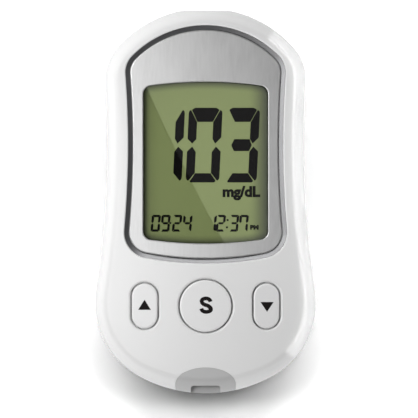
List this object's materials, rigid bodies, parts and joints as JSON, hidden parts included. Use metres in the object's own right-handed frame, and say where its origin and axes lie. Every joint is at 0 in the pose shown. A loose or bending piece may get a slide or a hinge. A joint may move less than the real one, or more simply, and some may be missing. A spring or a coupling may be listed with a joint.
{
  "type": "blood glucose meter",
  "caption": "Hand-held blood glucose meter with a waisted rounded case, a large display, press keys, a test strip port and a sliding battery door.",
  "frame": {"origin": "middle of the back, on the plane the meter rests on", "axes": "+Z out of the front face, +Y towards the display end, +X to the right seen from the front"},
  "size_m": [0.061, 0.106, 0.0221],
  "materials": {
    "case_white": "moulded, smooth, softly glossy white",
    "key_white": "moulded, smooth white",
    "bezel_silver": "fine vertical brushing, satin",
    "ring_grey": "satin grey",
    "lens_clear": "polished, clear",
    "display_glass": "polished",
    "display_green": "olive green film, satin",
    "holder_white": "moulded, matte",
    "connector_rubber": "silicone, matte",
    "board_green": "solder mask",
    "contact_gold": "gold plated",
    "mat_rubber": "silicone, matte",
    "trim_grey": "moulded, satin grey",
    "socket_black": "moulded, matte",
    "spring_steel": "nickel plated",
    "cell_jacket": "plain printed jacket",
    "screw_steel": "zinc plated",
    "collar_nickel": "nickel plated",
    "speaker_frame": "moulded, matte",
    "speaker_cone": "pressed, dull",
    "magnet_steel": "dull metal",
    "gasket_foam": "foam, matte",
    "wire_jacket": "insulated wire",
    "chip_black": "moulded, matte",
    "can_metal": "bare metal can",
    "mark_black": "screened ink and driven display segments"
  },
  "bodies": {
    "meter": {"front_case": "case_white", "rear_case": "case_white", "bezel_ring": "ring_grey", "display_bezel": "bezel_silver", "display_window": "lens_clear", "lcd_front_glass": "display_glass", "lcd_rear_glass": "display_glass", "lcd_film": "display_green", "lcd_holder": "holder_white", "lcd_connectors": "connector_rubber", "circuit_board": "board_green", "keypad_mat": "mat_rubber", "key_pads": "contact_gold", "strip_port_trim": "trim_grey", "strip_socket": "socket_black", "strip_contacts": "contact_gold", "cell_left": "cell_jacket", "cell_right": "cell_jacket", "cell_springs": "spring_steel", "bridge_plate": "spring_steel", "terminal_plates": "spring_steel", "case_screws": "screw_steel", "data_jack": "socket_black", "jack_collar": "collar_nickel", "speaker_frame": "speaker_frame", "speaker_cone": "speaker_cone", "speaker_magnet": "magnet_steel", "speaker_gasket": "gasket_foam", "speaker_wires": "wire_jacket", "controller_chip": "chip_black", "voice_chip": "chip_black", "clock_crystal": "can_metal", "board_capacitor": "can_metal"},
    "key_up": {"button_up": "key_white", "plunger_up": "mat_rubber"},
    "key_select": {"button_select": "key_white", "plunger_select": "mat_rubber"},
    "key_down": {"button_down": "key_white", "plunger_down": "mat_rubber"},
    "door": {"battery_door": "case_white"}
  },
  "joints": [
    {"name": "press_up", "type": "slide", "parent": "meter", "child": "key_up", "axis": [0, 0, -1], "range_m": [0, 0.0007], "stiffness_N_per_m": 1500, "springref_m": -0.0003},
    {"name": "press_select", "type": "slide", "parent": "meter", "child": "key_select", "axis": [0, 0, -1], "range_m": [0, 0.0007], "stiffness_N_per_m": 1500, "springref_m": -0.0003},
    {"name": "press_down", "type": "slide", "parent": "meter", "child": "key_down", "axis": [0, 0, -1], "range_m": [0, 0.0007], "stiffness_N_per_m": 1500, "springref_m": -0.0003},
    {"name": "door_slide", "type": "slide", "parent": "meter", "child": "door", "axis": [0, 1, 0], "range_m": [0, 0.06]}
  ]
}
